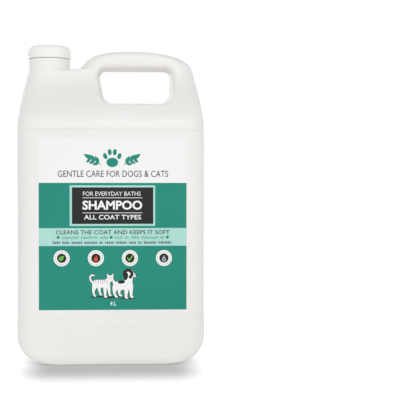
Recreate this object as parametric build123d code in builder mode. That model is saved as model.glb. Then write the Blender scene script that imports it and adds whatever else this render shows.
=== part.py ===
from build123d import *
import os
from math import cos, pi, sqrt

# A four-litre oblong jug for pet shampoo: a blow-moulded body with a through handle, a screw cap with its
# foam liner, and a film label on the front and on the back.
# Millimetres. +Z is up, the front faces -Y, the neck stands on the -X side and the handle is to its +X side.
# The origin is under the middle of the body, on the surface that the jug stands on.

# ---- body of the jug, outside sizes ----
WIDTH = 177.2
DEPTH = 101.0
WALL = 1.2
EDGE_RADIUS = 17.0            # the four upright edges
CORNER_SHARE = 0.49           # where the jug is narrow, a corner's radius is this share of the narrow side
FOOT_RADIUS = 28.0            # the foot, seen from the front
FOOT_RADIUS_SIDE = 14.0       # the foot, seen from the side
PUSH_UP = 2.5                 # the base is raised inside its standing ring
RING_WIDTH = 9.0              # flat ring that the jug stands on
PUSH_UP_TAPER = 45.0          # degrees, the sloping edge of the raised base

# ---- label panel: a shallow recess round the body ----
PANEL_BOTTOM = 44.5
PANEL_TOP = 220.9
PANEL_RECESS = 1.0            # on the front and the back
PANEL_SIDE_RECESS = 0.3       # on the two narrow sides
LEDGE_HEIGHT = 1.2            # height of the soft step at the panel's two ends

# ---- shoulder ----
LEAN_START = 207.0            # above this height the narrow sides lean in on a large arc
LEAN_RADIUS = 302.0
SHOULDER_START = 223.5        # above this height the front and the back draw in
SHOULDER_TOP = 281.0

# ---- handle over the window ----
HANDLE_HEIGHT = 17.6          # the handle's crown above the top of the shoulder
HANDLE_EDGE = 8.0             # rounding along the handle's two upper edges
CROWN_LEFT = 12.0             # where the handle's flat crown starts and ends
CROWN_RIGHT = 30.0
HANDLE_REACH = 42.0           # from the start of the crown to the foot of the handle, on the neck's side
HANDLE_LEAN = 0.55            # the neck's side of the handle leans in by this much for each unit of height
HANDLE_FOOT_RADIUS = 6.0      # hollow curve where the handle's foot runs out on to the shoulder
LEFT_ROUNDNESS = 3.2          # exponents of the two rounded ends: 2 is an ellipse, more is squarer
RIGHT_ROUNDNESS = 2.2
CROWN_CUT = 0.1               # the crown is cut flat this far under the true top of its curve

# ---- window, measured at the mould's parting plane ----
WINDOW_BOTTOM = 249.8
WINDOW_TOP = 280.6
WINDOW_LEFT = -12.4           # at the top edge
WINDOW_RIGHT = 58.0
WINDOW_SLANT_LEFT = 6.2       # how far each end is drawn in at the bottom edge
WINDOW_SLANT_RIGHT = 1.6
WINDOW_UPPER_CORNER = 6.5
WINDOW_LOWER_CORNER = 9.5
WINDOW_DRAFT = 6.0            # degrees, opening towards the front and the back
WINDOW_WELD = 3.0             # the plastic is thicker where the two walls are pinched together

# ---- neck with a 38 mm single-turn closure thread ----
NECK_PEDESTAL_RADIUS = 19.6
PEDESTAL_STEP = 0.2           # the top of the shoulder is this much deeper, each side, than the pedestal
BEAD_RADIUS = 19.9
BEAD_BOTTOM = 289.0
BEAD_TOP = 291.7
NECK_HEIGHT = 10.16           # from the bead to the land that the liner seals on
NECK_RADIUS = 17.55
NECK_WALL = 1.95
THREAD_PITCH = 25.4 / 6       # six threads to the inch
NECK_THREAD_TURNS = 1.25
NECK_THREAD_HEIGHT = 1.2
NECK_THREAD_DROP = 2.4        # from the land to the middle of the thread's upper end
NECK_THREAD_ROOT_WIDTH = 2.2
NECK_THREAD_CREST_WIDTH = 1.0
THREAD_EMBED = 0.3            # how far a thread is sunk into the wall that carries it
LAND_CHAMFER = 0.4

# ---- marks on the spout side ----
LUG_RADIUS = 3.5
LUG_UPPER_PROUD = 1.0
LUG_LOWER_PROUD = 1.8
LUG_EDGE = 0.6

# ---- cap and liner ----
LINER_THICKNESS = 1.0
LINER_CLEARANCE = 0.3         # round the liner, in its seat in the cap
LINER_OVERLAP = 0.4           # the liner is this much larger in radius than the land
CAP_TOP_THICKNESS = 1.5
CAP_BEAD_GAP = 0.5            # between the cap's rim and the bead
CAP_WALL = 1.3
CAP_SEAT_DEPTH = 1.9          # the narrow upper part of the cap's inside, which holds the liner
THREAD_CLEARANCE = 0.3        # in radius, from each thread's crest to the wall it faces
CAP_THREAD_TURNS = 1.0
CAP_THREAD_RISE = 1.4         # from the cap's rim to the middle of the thread's lower end
CAP_THREAD_LAG = 0.5          # half a turn behind the neck's thread, in the middle of its groove
CAP_THREAD_ROOT_WIDTH = 2.0
CAP_THREAD_CREST_WIDTH = 0.9
CAP_EDGE_RADIUS = 5.0         # rounding round the cap's top
RIB_COUNT = 90
RIB_PROUD = 0.35
RIB_RADIUS = 0.5
RIB_BOTTOM_GAP = 1.5          # smooth band under the ribs

# ---- labels ----
LABEL_THICKNESS = 0.15
LABEL_CORNER = 0.8
FRONT_LABEL_LEFT = 4.0        # bare strips round the front label, on the flat of the panel
FRONT_LABEL_RIGHT = 0.6
FRONT_LABEL_TOP = 7.5
FRONT_LABEL_BOTTOM = 7.6
BACK_LABEL_SIDE = 0.6         # bare strips round the back label
BACK_LABEL_TOP = 5.6
BACK_LABEL_BOTTOM = 7.4

# ---- heights and radii that follow from the sizes above ----
HANDLE_TOP = SHOULDER_TOP + HANDLE_HEIGHT
CROWN_Z = HANDLE_TOP - CROWN_CUT
TOP_HALF_WIDTH = WIDTH / 2 - LEAN_RADIUS + sqrt(LEAN_RADIUS**2 - (SHOULDER_TOP - LEAN_START) ** 2)
TOP_HALF_DEPTH = NECK_PEDESTAL_RADIUS + PEDESTAL_STEP
NECK_X = NECK_PEDESTAL_RADIUS - TOP_HALF_WIDTH
LAND_Z = BEAD_TOP + NECK_HEIGHT
NECK_THREAD_RADIUS = NECK_RADIUS + NECK_THREAD_HEIGHT
BORE_RADIUS = NECK_RADIUS - NECK_WALL
CAP_BOTTOM = BEAD_TOP + CAP_BEAD_GAP
CAP_BORE_RADIUS = NECK_THREAD_RADIUS + THREAD_CLEARANCE
CAP_THREAD_RADIUS = NECK_RADIUS + THREAD_CLEARANCE
CAP_RADIUS = CAP_BORE_RADIUS + CAP_WALL
LINER_RADIUS = NECK_RADIUS + LINER_OVERLAP
CAP_SEAT_RADIUS = LINER_RADIUS + LINER_CLEARANCE
CAP_SEAT_Z = LAND_Z + LINER_THICKNESS
CAP_TOP = CAP_SEAT_Z + CAP_TOP_THICKNESS
PEDESTAL_BORE_RADIUS = NECK_PEDESTAL_RADIUS - WALL
NECK_THREAD_START = LAND_Z - NECK_THREAD_DROP - NECK_THREAD_TURNS * THREAD_PITCH
RAISED_WIDTH = WIDTH - 2 * FOOT_RADIUS - 2 * RING_WIDTH
RAISED_DEPTH = DEPTH - 2 * FOOT_RADIUS_SIDE - 2 * RING_WIDTH
RAISED_CORNER = EDGE_RADIUS - RING_WIDTH
PANEL_FACE = DEPTH / 2 - PANEL_RECESS
PANEL_FLAT_HALF = WIDTH / 2 - PANEL_SIDE_RECESS - EDGE_RADIUS

# Levels of each storey of the body. Two levels make a straight storey, more make a curved one.
FOOT_STEPS = 6
FOOT_LEVELS = [FOOT_RADIUS * (1 - cos(step * pi / 2 / FOOT_STEPS)) for step in range(FOOT_STEPS + 1)]
LEAN_LEVELS = [LEAN_START, (LEAN_START + PANEL_TOP) / 2, PANEL_TOP]
SHOULDER_STEPS = 8
SHOULDER_RISE = (SHOULDER_TOP - SHOULDER_START) / SHOULDER_STEPS
SHOULDER_LEVELS = [SHOULDER_START + step * SHOULDER_RISE for step in range(SHOULDER_STEPS + 1)]
HANDLE_SHARES = [0, 0.02, 0.07, 0.15, 0.25, 0.35, 0.45, 0.6, 0.72, 0.82, 0.9, 0.95, 0.98]
HANDLE_LEVELS = [SHOULDER_TOP + share * HANDLE_HEIGHT for share in HANDLE_SHARES] + [CROWN_Z]


def rounding(height, radius):
    """How far a rounded edge has drawn in at this height above the start of its quarter circle."""
    return radius - sqrt(max(radius**2 - max(height, 0) ** 2, 0))


def half_width(z):
    """Half the body's width: rounded at the foot, upright, then leaning in on a large arc."""
    return WIDTH / 2 - rounding(FOOT_RADIUS - z, FOOT_RADIUS) - rounding(z - LEAN_START, LEAN_RADIUS)


def half_depth(z):
    """Half the body's depth: rounded at the foot, upright, then drawn in along half a cosine wave."""
    share = min(max((z - SHOULDER_START) / (SHOULDER_TOP - SHOULDER_START), 0), 1)
    drawn_in = (DEPTH / 2 - TOP_HALF_DEPTH) * (1 - cos(pi * share)) / 2
    handle_edge = rounding(z - HANDLE_TOP + HANDLE_EDGE, HANDLE_EDGE)
    return DEPTH / 2 - rounding(FOOT_RADIUS_SIDE - z, FOOT_RADIUS_SIDE) - drawn_in - handle_edge


def handle_ends(z):
    """The handle's two ends at this height, on superellipses that meet the flat crown."""
    share = (z - SHOULDER_TOP) / HANDLE_HEIGHT
    left_curve = (1 - share**LEFT_ROUNDNESS) ** (1 / LEFT_ROUNDNESS)
    right_curve = (1 - share**RIGHT_ROUNDNESS) ** (1 / RIGHT_ROUNDNESS)
    left = CROWN_LEFT - (HANDLE_REACH - HANDLE_LEAN * (z - SHOULDER_TOP)) * left_curve
    left -= rounding(HANDLE_FOOT_RADIUS - z + SHOULDER_TOP, HANDLE_FOOT_RADIUS)
    right = half_width(z) - (half_width(z) - CROWN_RIGHT) * (1 - right_curve)
    return left, right


def body_form(inset):
    """The jug without its neck and window: the outside at inset 0, the hollow inside at inset WALL.

    Every level is a rounded rectangle. The levels of the inside are drawn in by the wall, in height too.
    """
    storeys = [
        (FOOT_LEVELS, 0, 0),
        ([FOOT_RADIUS, PANEL_BOTTOM - LEDGE_HEIGHT], 0, 0),
        ([PANEL_BOTTOM - LEDGE_HEIGHT, PANEL_BOTTOM], 0, 1),
        ([PANEL_BOTTOM, LEAN_START], 1, 1),
        (LEAN_LEVELS, 1, 1),
        ([PANEL_TOP, PANEL_TOP + LEDGE_HEIGHT], 1, 0),
        ([PANEL_TOP + LEDGE_HEIGHT, SHOULDER_START], 0, 0),
        (SHOULDER_LEVELS, 0, 0),
        (HANDLE_LEVELS, 0, 0),
    ]
    squeeze = (CROWN_Z - 2 * inset) / CROWN_Z
    with BuildPart() as form:
        for levels, recess_below, recess_above in storeys:
            for z in levels:
                recess = recess_below if z == levels[0] else recess_above
                left, right = -half_width(z), half_width(z)
                if levels is HANDLE_LEVELS:
                    left, right = handle_ends(z)
                left += inset + recess * PANEL_SIDE_RECESS
                right -= inset + recess * PANEL_SIDE_RECESS
                depth = 2 * (half_depth(z) - inset - recess * PANEL_RECESS)
                corner = min(EDGE_RADIUS - inset, CORNER_SHARE * depth, CORNER_SHARE * (right - left))
                with BuildSketch(Plane.XY.offset(inset + z * squeeze)):
                    with Locations(((left + right) / 2, 0)):
                        RectangleRounded(right - left, depth, corner)
            loft()
    return form.part


def window_tool(margin):
    """The window as a solid, opening towards the front and the back, larger all round by the margin."""
    with BuildPart() as tool:
        with BuildSketch(Plane.XZ) as outline:
            with BuildLine():
                Polyline(
                    (WINDOW_LEFT, WINDOW_TOP),
                    (WINDOW_RIGHT, WINDOW_TOP),
                    (WINDOW_RIGHT - WINDOW_SLANT_RIGHT, WINDOW_BOTTOM),
                    (WINDOW_LEFT + WINDOW_SLANT_LEFT, WINDOW_BOTTOM),
                    close=True,
                )
            make_face()
            corners = outline.vertices().sort_by(Axis.Y)
            fillet(corners[:2], WINDOW_LOWER_CORNER)
            fillet(corners[2:], WINDOW_UPPER_CORNER)
            if margin > 0:
                offset(amount=margin)
        extrude(amount=DEPTH / 2, both=True, taper=-WINDOW_DRAFT)
    return tool.part


def thread_ridge(root_radius, crest_radius, root_width, crest_width, turns, start_z, lag):
    """A right-handed ridge round the neck's axis, sunk into the wall that carries it.

    It lies on a helix that trails the neck's own thread by a share of a turn, which is its lag.
    """
    outwards = 1 if crest_radius > root_radius else -1
    sunk_radius = root_radius - outwards * THREAD_EMBED
    start_turn = (start_z - NECK_THREAD_START) / THREAD_PITCH + lag
    with BuildPart() as ridge:
        with BuildLine() as path:
            Helix(THREAD_PITCH, THREAD_PITCH * turns, root_radius)
        with BuildSketch(Plane.XZ):
            with BuildLine():
                Polyline(
                    (sunk_radius, -root_width / 2),
                    (root_radius, -root_width / 2),
                    (crest_radius, -crest_width / 2),
                    (crest_radius, crest_width / 2),
                    (root_radius, root_width / 2),
                    (sunk_radius, root_width / 2),
                    close=True,
                )
            make_face()
        sweep(path=path.wires()[0], is_frenet=True)
    return Pos(NECK_X, 0, start_z) * Rot(0, 0, 360 * start_turn) * ridge.part


def neck_disc(radius, bottom, top):
    """A plain disc on the neck's axis."""
    with BuildPart() as disc:
        with BuildSketch(Plane.XY.offset(bottom)):
            with Locations((NECK_X, 0)):
                Circle(radius)
        extrude(amount=top - bottom)
    return disc.part


def push_up_tool(margin):
    """The space under the raised base, or with a margin the same raised space in the cavity's floor."""
    with BuildPart() as tool:
        with BuildSketch(Plane.XY):
            RectangleRounded(RAISED_WIDTH + 2 * margin, RAISED_DEPTH + 2 * margin, RAISED_CORNER + margin)
        extrude(amount=PUSH_UP + margin, taper=PUSH_UP_TAPER)
    return tool.part


def spout_lug(z, proud):
    """A small round lug on the spout side, where the mould's two halves meet."""
    side = -half_width(z)
    with BuildPart() as lug:
        with BuildSketch(Plane.YZ.offset(side + WALL)):
            with Locations((0, z)):
                Circle(LUG_RADIUS)
        extrude(amount=-(WALL + proud))
        fillet(lug.faces().sort_by(Axis.X)[0].edges(), LUG_EDGE)
    return lug.part


os.makedirs("parts", exist_ok=True)

# ---- jug_body: one blow-moulded shell, hollow right through the handle ----
outside = body_form(0)
inside = body_form(WALL)
neck_thread = thread_ridge(
    NECK_RADIUS,
    NECK_THREAD_RADIUS,
    NECK_THREAD_ROOT_WIDTH,
    NECK_THREAD_CREST_WIDTH,
    NECK_THREAD_TURNS,
    NECK_THREAD_START,
    0,
)
with BuildPart() as cavity:
    add(inside)
    add(window_tool(WINDOW_WELD), mode=Mode.SUBTRACT)
    add(push_up_tool(WALL), mode=Mode.SUBTRACT)
with BuildPart() as jug_body:
    add(outside)
    add(neck_disc(NECK_PEDESTAL_RADIUS, SHOULDER_TOP - WALL, BEAD_BOTTOM))
    add(neck_disc(BEAD_RADIUS, BEAD_BOTTOM, BEAD_TOP))
    add(neck_disc(NECK_RADIUS, BEAD_TOP, LAND_Z))
    chamfer(jug_body.faces().sort_by(Axis.Z)[-1].edges(), LAND_CHAMFER)
    add(window_tool(0), mode=Mode.SUBTRACT)
    add(push_up_tool(0), mode=Mode.SUBTRACT)
    add(spout_lug(PANEL_TOP, LUG_UPPER_PROUD))
    add(spout_lug(PANEL_BOTTOM, LUG_LOWER_PROUD))
    add(neck_thread)
    add(cavity.part, mode=Mode.SUBTRACT)
    add(neck_disc(PEDESTAL_BORE_RADIUS, SHOULDER_TOP - 2 * WALL, BEAD_BOTTOM), mode=Mode.SUBTRACT)
    add(neck_disc(BORE_RADIUS, BEAD_BOTTOM, LAND_Z), mode=Mode.SUBTRACT)
jug_body.part.label = "jug_body"
export_step(jug_body.part, "parts/jug_body.step")

# ---- screw_cap ----
with BuildPart() as screw_cap:
    add(neck_disc(CAP_RADIUS, CAP_BOTTOM, CAP_TOP))
    fillet(screw_cap.faces().sort_by(Axis.Z)[-1].edges(), CAP_EDGE_RADIUS)
    with BuildSketch(Plane.XY.offset(CAP_BOTTOM + RIB_BOTTOM_GAP)):
        with Locations((NECK_X, 0)):
            with PolarLocations(CAP_RADIUS + RIB_PROUD - RIB_RADIUS, RIB_COUNT):
                Circle(RIB_RADIUS)
    extrude(amount=CAP_TOP - CAP_EDGE_RADIUS - CAP_BOTTOM - RIB_BOTTOM_GAP)
    add(neck_disc(CAP_BORE_RADIUS, CAP_BOTTOM, CAP_SEAT_Z - CAP_SEAT_DEPTH), mode=Mode.SUBTRACT)
    add(neck_disc(CAP_SEAT_RADIUS, CAP_BOTTOM, CAP_SEAT_Z), mode=Mode.SUBTRACT)
    add(
        thread_ridge(
            CAP_BORE_RADIUS,
            CAP_THREAD_RADIUS,
            CAP_THREAD_ROOT_WIDTH,
            CAP_THREAD_CREST_WIDTH,
            CAP_THREAD_TURNS,
            CAP_BOTTOM + CAP_THREAD_RISE,
            CAP_THREAD_LAG,
        )
    )
screw_cap.part.label = "screw_cap"
export_step(screw_cap.part, "parts/screw_cap.step")

# ---- cap_liner: a foam disc held loosely in the cap ----
with BuildPart() as cap_liner:
    add(neck_disc(LINER_RADIUS, LAND_Z, CAP_SEAT_Z))
cap_liner.part.label = "cap_liner"
export_step(cap_liner.part, "parts/cap_liner.step")


def label_film(left, right, bottom, top, plane):
    """A film label with small round corners, lying on the flat of the panel."""
    with BuildPart() as film:
        with BuildSketch(plane):
            with Locations(((left + right) / 2, (bottom + top) / 2)):
                RectangleRounded(right - left, top - bottom, LABEL_CORNER)
        extrude(amount=LABEL_THICKNESS)
    return film


# ---- front_label and back_label ----
front_label = label_film(
    FRONT_LABEL_LEFT - PANEL_FLAT_HALF,
    PANEL_FLAT_HALF - FRONT_LABEL_RIGHT,
    PANEL_BOTTOM + FRONT_LABEL_BOTTOM,
    PANEL_TOP - FRONT_LABEL_TOP,
    Plane.XZ.offset(PANEL_FACE),
)
front_label.part.label = "front_label"
export_step(front_label.part, "parts/front_label.step")

back_label = label_film(
    BACK_LABEL_SIDE - PANEL_FLAT_HALF,
    PANEL_FLAT_HALF - BACK_LABEL_SIDE,
    PANEL_BOTTOM + BACK_LABEL_BOTTOM,
    PANEL_TOP - BACK_LABEL_TOP,
    Plane.XZ.offset(-PANEL_FACE - LABEL_THICKNESS),
)
back_label.part.label = "back_label"
export_step(back_label.part, "parts/back_label.step")
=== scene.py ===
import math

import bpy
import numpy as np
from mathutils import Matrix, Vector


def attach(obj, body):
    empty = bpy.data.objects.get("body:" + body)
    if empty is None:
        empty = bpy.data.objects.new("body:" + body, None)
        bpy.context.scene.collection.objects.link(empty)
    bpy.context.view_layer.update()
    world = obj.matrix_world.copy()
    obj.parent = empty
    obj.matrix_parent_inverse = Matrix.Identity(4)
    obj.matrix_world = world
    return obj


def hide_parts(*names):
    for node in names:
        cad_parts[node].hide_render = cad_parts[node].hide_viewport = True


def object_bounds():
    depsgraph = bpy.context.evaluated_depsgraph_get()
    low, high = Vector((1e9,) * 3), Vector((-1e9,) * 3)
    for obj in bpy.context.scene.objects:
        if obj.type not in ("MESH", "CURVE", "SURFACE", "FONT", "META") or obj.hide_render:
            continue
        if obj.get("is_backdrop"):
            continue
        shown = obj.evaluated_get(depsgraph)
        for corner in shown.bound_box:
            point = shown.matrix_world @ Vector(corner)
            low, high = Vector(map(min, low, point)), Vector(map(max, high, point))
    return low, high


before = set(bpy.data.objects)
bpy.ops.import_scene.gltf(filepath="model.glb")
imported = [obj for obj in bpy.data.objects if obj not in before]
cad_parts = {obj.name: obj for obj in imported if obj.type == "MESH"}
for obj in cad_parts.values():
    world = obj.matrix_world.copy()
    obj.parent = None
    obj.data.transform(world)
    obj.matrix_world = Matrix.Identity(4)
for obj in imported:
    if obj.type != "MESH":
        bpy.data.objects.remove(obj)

# %% [markdown]
# # A four-litre pet shampoo jug
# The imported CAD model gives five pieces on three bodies: the jug with its two labels, the cap, and the
# liner between them. Every length of a shape is in millimetres and is turned into metres in one place only,
# where a mesh is made, so a value can be compared directly with the CAD sizes. Lights, camera and places in
# a material are in metres.

MM = 0.001
cad_low, cad_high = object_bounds()
print("CAD box", [round(v, 4) for v in cad_low], [round(v, 4) for v in cad_high])

# %% [markdown]
# ## From a grid of points to a mesh
# A blow-moulded jug, a cap and a film are all closed surfaces. A mesh could be modelled by pulling faces
# about, but a surface that is worked out as a grid of points keeps exact radii and can be made denser
# at will. The grid's rows are rings; a pole closes each end, so no opening is left.

# %% Grid to mesh
def put_in_mesh(name, points, quads, triangles):
    """A mesh object with these points, in millimetres, and these faces."""
    corners = np.concatenate([quads.ravel(), triangles.ravel()]).astype(np.int32)
    sizes = np.concatenate([np.full(len(quads), 4), np.full(len(triangles), 3)])
    starts = np.concatenate([[0], np.cumsum(sizes)[:-1]]).astype(np.int32)
    mesh = bpy.data.meshes.new(name)
    mesh.vertices.add(len(points))
    mesh.vertices.foreach_set("co", (points * MM).astype(np.float32).ravel())
    mesh.loops.add(len(corners))
    mesh.loops.foreach_set("vertex_index", corners)
    mesh.polygons.add(len(starts))
    mesh.polygons.foreach_set("loop_start", starts)
    mesh.update(calc_edges=True)
    piece = bpy.data.objects.new(name, mesh)
    bpy.context.scene.collection.objects.link(piece)
    return piece


def ring_surface(rings):
    """Points, quads and triangles of a closed surface through rings shaped (rings, points, 3).

    Neighbouring rings are joined by quads, and the first and last by triangles to their middle points.
    """
    rows, columns, _ = rings.shape
    poles = rings[[0, -1]].mean(axis=1)
    points = np.concatenate([rings.reshape(-1, 3), poles])
    here = np.arange(columns)
    after = (here + 1) % columns
    base = np.arange(rows - 1)[:, None] * columns
    quads = np.stack([base + here, base + after, base + columns + after, base + columns + here], axis=-1)
    last = (rows - 1) * columns
    low = np.stack([after, here, np.full(columns, rows * columns)], axis=-1)
    high = np.stack([last + here, last + after, np.full(columns, rows * columns + 1)], axis=-1)
    return points, quads.reshape(-1, 4), np.concatenate([low, high])


def closed_rings(name, rings):
    """The same surface as a mesh object."""
    return put_in_mesh(name, *ring_surface(rings))


def smooth_step(low, high, value):
    """Rises from 0 to 1 between two values, level at both ends."""
    share = np.clip((value - low) / (high - low), 0, 1)
    return share * share * (3 - 2 * share)


def rounding(height, radius):
    """How far a rounded edge has drawn in at this height above the start of its quarter circle."""
    return radius - np.sqrt(np.maximum(radius**2 - np.maximum(height, 0) ** 2, 0))


# %% [markdown]
# ## The jug's outline, level by level
# The real jug is one bubble of plastic blown into a two-part mould. Seen from above, each level is a
# rounded rectangle, so four numbers a level describe it: left end, right end, half depth and corner.
# The sizes are those of the CAD part, so the new surface lies on the CAD one, but its ledges, deck edge
# and handle foot are softened as a blown part's are.

# %% Sizes of the body
HALF_WIDTH, HALF_DEPTH, WALL = 88.6, 50.5, 1.2
CORNER, CORNER_SHARE = 17.0, 0.98
FOOT, FOOT_SIDE = 28.0, 14.0
PANEL_LOW, PANEL_HIGH, LEDGE = 43.8, 221.4, 2.6
PANEL_RECESS, PANEL_SIDE_RECESS = 1.0, 0.3
LEAN_START, LEAN_RADIUS = 207.0, 302.0
SHOULDER_START, DECK = 223.5, 281.0
TOP_HALF_DEPTH = 19.8
HANDLE_TOP, HANDLE_EDGE = 298.6, 8.0
CROWN_LEFT, CROWN_RIGHT, HANDLE_REACH, HANDLE_LEAN = 12.0, 30.0, 42.0, 0.55
HANDLE_FOOT, LEFT_ROUNDNESS, RIGHT_ROUNDNESS = 6.0, 3.2, 2.2
DECK_EDGE = 4.0
NECK_X = -59.793443


def half_width(z):
    """Half the body's width: rounded at the foot, upright, then leaning in on a large arc."""
    return HALF_WIDTH - rounding(FOOT - z, FOOT) - rounding(z - LEAN_START, LEAN_RADIUS)


def half_depth(z):
    """Half the depth: rounded at the foot, upright, drawn in on half a cosine wave, rounded on top."""
    share = np.clip((z - SHOULDER_START) / (DECK - SHOULDER_START), 0, 1)
    drawn_in = (HALF_DEPTH - TOP_HALF_DEPTH) * (1 - np.cos(math.pi * share)) / 2
    edge = rounding(z - HANDLE_TOP + HANDLE_EDGE, HANDLE_EDGE)
    return HALF_DEPTH - rounding(FOOT_SIDE - z, FOOT_SIDE) - drawn_in - edge


def handle_ends(z):
    """The handle's two ends: superellipses that meet the flat crown, with a rounded foot on the left."""
    share = np.clip((z - DECK) / (HANDLE_TOP - DECK), 0, 1)
    left_curve = (1 - share**LEFT_ROUNDNESS) ** (1 / LEFT_ROUNDNESS)
    right_curve = (1 - share**RIGHT_ROUNDNESS) ** (1 / RIGHT_ROUNDNESS)
    left = CROWN_LEFT - (HANDLE_REACH - HANDLE_LEAN * (z - DECK)) * left_curve
    left = left - rounding(HANDLE_FOOT - z + DECK, HANDLE_FOOT)
    right = half_width(z) - (half_width(z) - CROWN_RIGHT) * (1 - right_curve)
    return left, right


print("half width and depth under the neck:", round(float(half_width(DECK)), 2), float(half_depth(DECK)))

# %% [markdown]
# ## One ring
# A ring is a rounded rectangle told by three numbers a point: how far along the long side it is, the
# angle on its corner, and how far along the short end. The points near the mould's parting line, at the
# middle of each end, stay close together so that the fine flash line there can stand proud.

# %% Ring of a rounded rectangle
CORNER_STEPS, SIDE_STEPS = 12, 30
END_SHARES = np.array([0.0, 0.3, 0.6, 0.75, 0.9])
SEAM_HALF, SEAM_PROUD = 0.4, 0.12
MIDDLE_SHARE = 0.15
EDGE_FADES = (-40.0, -18.0)


def ring_plan():
    """For each point of a ring: share along the long side, corner angle, share along the short end."""
    side = np.linspace(0, 1, SIDE_STEPS + 1)[1:-1]
    quarter = np.linspace(0, math.pi / 2, CORNER_STEPS + 1)
    plan = [
        (0.0, 0.0, END_SHARES),
        (0.0, quarter, 1.0),
        (side, math.pi / 2, 1.0),
        (1.0, quarter + math.pi / 2, 1.0),
        (1.0, math.pi, END_SHARES[::-1]),
        (1.0, math.pi, -END_SHARES[1:]),
        (1.0, quarter + math.pi, -1.0),
        (side[::-1], 1.5 * math.pi, -1.0),
        (0.0, quarter + 1.5 * math.pi, -1.0),
        (0.0, 0.0, -END_SHARES[:0:-1]),
    ]
    stretches = [np.broadcast_arrays(*stretch) for stretch in plan]
    return [np.concatenate(values) for values in zip(*stretches)]


ALONG, ANGLE, ACROSS = ring_plan()


def body_rings(z, left, right, depth, corner, soft=0.0):
    """Rounded rectangles at the heights z, shaped (levels, points, 3).

    The long side is split at a middle that stays put while the left end slides, so that the deck and the
    handle share one skin. soft is how much the part left of the handle narrows in depth, for its edge.
    """
    z, left, right, depth, corner, soft = (
        np.broadcast_to(np.asarray(v, float), np.shape(z))[:, None]
        for v in (z, left, right, depth, corner, soft)
    )
    start, stop = right - corner, left + corner
    middle = np.maximum(0.0, stop + MIDDLE_SHARE * (start - stop))
    first_half = start + 2 * ALONG * (middle - start)
    second_half = middle + (2 * ALONG - 1) * (stop - middle)
    x = np.where(ALONG < 0.5, first_half, second_half)
    x = x + corner * np.cos(ANGLE)
    reach = np.abs(ACROSS) * (depth - corner)
    near_seam = np.array([0.0, SEAM_HALF, 2 * SEAM_HALF])
    for share, limit in zip(END_SHARES, near_seam):
        reach = np.where(np.abs(ACROSS) == share, np.minimum(reach, limit), reach)
    y = np.sign(ACROSS) * reach + corner * np.sin(ANGLE)
    narrow = 1 - smooth_step(*EDGE_FADES, x)
    y = y * (1 - soft * narrow / depth)
    x = x + np.where(ACROSS == 0, SEAM_PROUD * np.cos(ANGLE), 0)
    return np.stack([x, y, np.broadcast_to(z, x.shape)], axis=-1)


def corner_of(z_depth, width, inset):
    """The corner radius of a level: the body's, or what its depth and width leave room for."""
    return np.minimum(CORNER - inset, np.minimum(CORNER_SHARE * z_depth, CORNER_SHARE * width / 2))


print("points in a ring:", len(ALONG))

# %% [markdown]
# ## The whole outside, from the raised base to the crown of the handle
# The levels crowd together where the shape turns and spread out where it is straight. The base comes
# first, from its middle out to the ring that the jug stands on. Then follow the foot, the label panel
# between its two ledges, the shoulder, the deck beside the neck and the handle, all on one skin.

# %% Levels of the body
FLOOR_DROP = np.array([34.6, 34.0, 33.0, 30.0, 20.0, 12.4, 11.7, 11.2, 9.6, 9.1, 8.6, 6.0, 3.0, 0.8])
FLOOR_LIFT = np.array([2.1, 2.1, 2.5, 2.5, 2.5, 2.5, 2.42, 2.1, 0.4, 0.08, 0.0, 0.0, 0.0, 0.0])
HANDLE_SHARES = np.array([
    0.004, 0.02, 0.045, 0.08, 0.125, 0.18, 0.24, 0.3, 0.37, 0.44, 0.51, 0.58, 0.64, 0.7, 0.755, 0.805,
    0.85, 0.888, 0.92, 0.945, 0.965, 0.98, 0.991, 0.998,
])
DECK_RISE, EDGE_RUN_OUT = 0.02, 7.0


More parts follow.
